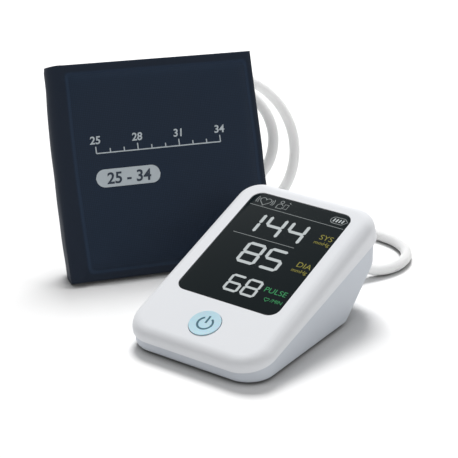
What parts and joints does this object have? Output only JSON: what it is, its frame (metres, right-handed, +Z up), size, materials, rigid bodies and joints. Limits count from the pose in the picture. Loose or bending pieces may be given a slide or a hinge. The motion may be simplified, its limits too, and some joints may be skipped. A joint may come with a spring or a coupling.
{
  "type": "digital blood pressure monitor",
  "caption": "Desk-top upper-arm blood pressure monitor: wedge-shaped case with a sloping display and a round button, air hose and a folded cloth cuff standing behind.",
  "frame": {"origin": "on the table, under the middle of the monitor's base, on the plane of its feet", "axes": "+X to the right of the person who reads the display, +Y away from that person, +Z up"},
  "size_m": [0.2402, 0.2327, 0.1316],
  "materials": {
    "white_shell": "satin moulded ABS",
    "grey_shell": "fine matt moulded ABS",
    "window": "polished acrylic, dark behind",
    "lcd": "polished glass with a dark film",
    "lit_plate": "moulded polycarbonate",
    "ribbon": "polyimide film",
    "board": "solder resist on glass fibre",
    "chip": "moulded epoxy",
    "ivory_plastic": "moulded acetal",
    "blue_button": "satin moulded ABS",
    "steel": "zinc-plated or tinned",
    "armature": "laminations and lacquered winding",
    "foot_rubber": "matt silicone",
    "seal_rubber": "nitrile",
    "cell_jacket": "printed film on steel, left bare",
    "black_plastic": "moulded nylon",
    "plug_plastic": "satin moulded plastic",
    "hose_rubber": "matt PVC hose",
    "cuff_cloth": "woven nylon, welded edges",
    "bladder_sheet": "welded sheet",
    "hook_tape": "moulded hooks",
    "loop_tape": "brushed loops"
  },
  "bodies": {
    "monitor": {"top_housing": "white_shell", "base_housing": "grey_shell", "display_lens": "window", "lcd_glass": "lcd", "lcd_frame": "lit_plate", "lcd_ribbon": "ribbon", "circuit_board": "board", "board_chips": "chip", "buzzer": "chip", "tact_switch": "chip", "board_screws": "steel", "housing_screws": "steel", "feet": "foot_rubber", "batteries": "cell_jacket", "battery_springs": "steel", "battery_plates": "steel", "power_jack": "black_plastic", "pump_motor": "steel", "pump_head": "ivory_plastic", "pump_cushions": "foot_rubber", "valve_body": "steel", "valve_spring": "steel", "pressure_sensor": "ivory_plastic", "air_tee": "ivory_plastic", "air_tubes": "hose_rubber", "air_socket": "grey_shell", "hose_plug": "plug_plastic", "plug_seal": "seal_rubber", "hose": "hose_rubber", "hose_coil": "hose_rubber", "hose_collar": "plug_plastic", "cuff_port": "plug_plastic", "cuff_sleeve": "cuff_cloth", "bladder": "bladder_sheet", "hook_patch": "hook_tape", "loop_patch": "loop_tape"},
    "power_button": {"power_button": "blue_button", "tact_plunger": "ivory_plastic"},
    "battery_door": {"battery_door": "grey_shell"},
    "pump_rotor": {"pump_rotor": "armature"},
    "valve_plunger": {"valve_plunger": "steel"}
  },
  "joints": [
    {"name": "button_press", "type": "slide", "parent": "monitor", "child": "power_button", "axis": [0, 0.3338, -0.9426], "range_m": [0, 0.0006], "stiffness_N_per_m": 2500},
    {"name": "door_hinge", "type": "hinge", "parent": "monitor", "child": "battery_door", "pos_m": [0, -0.02935, 0.0026], "axis": [-1, 0, 0], "range_deg": [0, 95]},
    {"name": "pump_spin", "type": "hinge", "parent": "monitor", "child": "pump_rotor", "pos_m": [0, 0.04575, 0.027], "axis": [1, 0, 0], "continuous": true},
    {"name": "valve_stroke", "type": "slide", "parent": "monitor", "child": "valve_plunger", "axis": [1, 0, 0], "range_m": [0, 0.001], "stiffness_N_per_m": 1000, "deforming": ["valve_spring"]}
  ]
}
